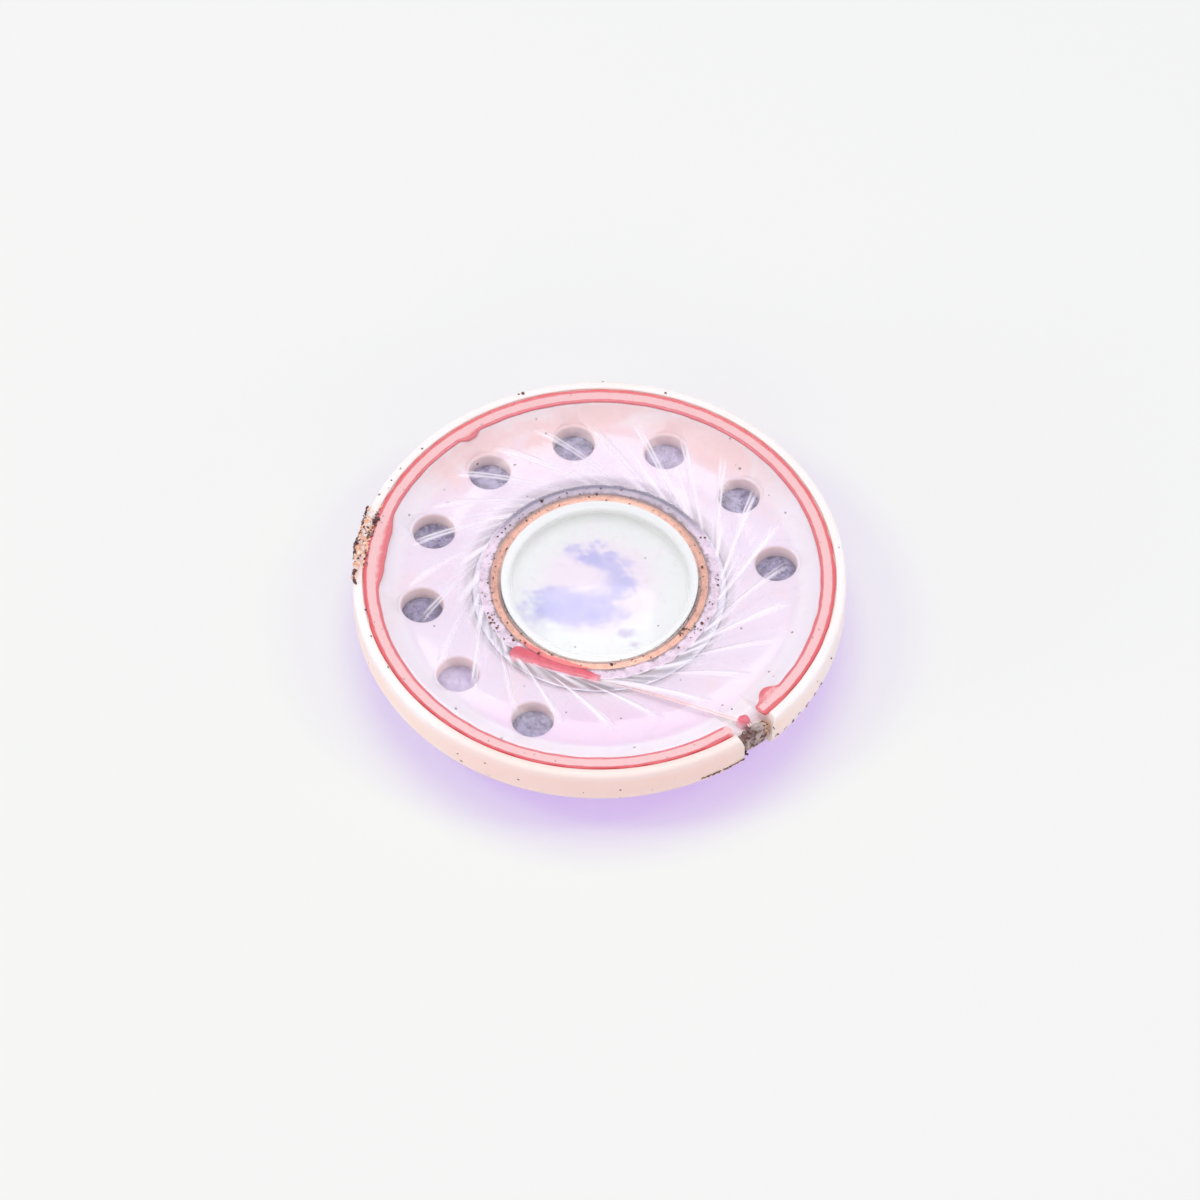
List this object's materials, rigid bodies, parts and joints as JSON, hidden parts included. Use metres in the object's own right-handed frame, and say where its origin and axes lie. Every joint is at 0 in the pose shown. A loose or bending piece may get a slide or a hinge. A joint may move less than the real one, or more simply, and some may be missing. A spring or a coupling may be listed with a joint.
{
  "type": "loudspeaker driver",
  "caption": "Small round moving-coil driver: clear ribbed film diaphragm glued on a dished plastic basket with rear vents, inner magnet in a steel cup and a rear terminal board.",
  "frame": {"origin": "middle of the yoke cup's flat back", "axes": "+Z along the driver's axis, out of the diaphragm's side; -Y towards the notch where the leads leave the rim"},
  "size_m": [0.036, 0.036, 0.0071],
  "materials": {
    "basket_plastic": "cream moulded plastic, satin, with brown dirt in its edges",
    "yoke_steel": "drawn steel, zinc plated, satin",
    "plate_steel": "bright plated steel with bluish stains",
    "magnet_plating": "nickel plated sintered magnet",
    "amber_adhesive": "amber cured adhesive",
    "seam_adhesive": "milky cured adhesive with grey and brown specks",
    "red_adhesive": "translucent red cured adhesive",
    "diaphragm_film": "clear pressed polyester film, glossy",
    "coil_copper": "enamelled copper winding",
    "lead_copper": "fine enamelled copper wire",
    "aged_sealant": "crumbly brown-grey aged sealant",
    "board_laminate": "brown paper laminate",
    "pad_copper": "etched copper foil",
    "solder": "bright cooled solder",
    "damping_paper": "blue-grey porous paper"
  },
  "bodies": {
    "chassis": {"basket": "basket_plastic", "yoke_cup": "yoke_steel", "yoke_adhesive": "amber_adhesive", "magnet": "magnet_plating", "magnet_adhesive": "amber_adhesive", "pole_plate": "plate_steel", "plate_adhesive": "amber_adhesive", "diaphragm_surround": "diaphragm_film", "diaphragm_glue_ring": "red_adhesive", "lead_wire_a": "lead_copper", "lead_wire_b": "lead_copper", "exit_glue_drop": "red_adhesive", "notch_sealant": "aged_sealant", "terminal_board": "board_laminate", "board_adhesive": "amber_adhesive", "solder_pads": "pad_copper", "solder_joints": "solder", "damping_paper": "damping_paper"},
    "moving_coil": {"voice_coil": "coil_copper", "coil_adhesive": "seam_adhesive", "diaphragm_dome": "diaphragm_film", "lead_glue_dab": "red_adhesive"}
  },
  "joints": [
    {"name": "diaphragm_excursion", "type": "slide", "parent": "chassis", "child": "moving_coil", "axis": [0, 0, 1], "range_m": [-0.0004, 0.0004], "stiffness_N_per_m": 2000, "deforming": ["diaphragm_surround", "lead_wire_a", "lead_wire_b"]}
  ]
}
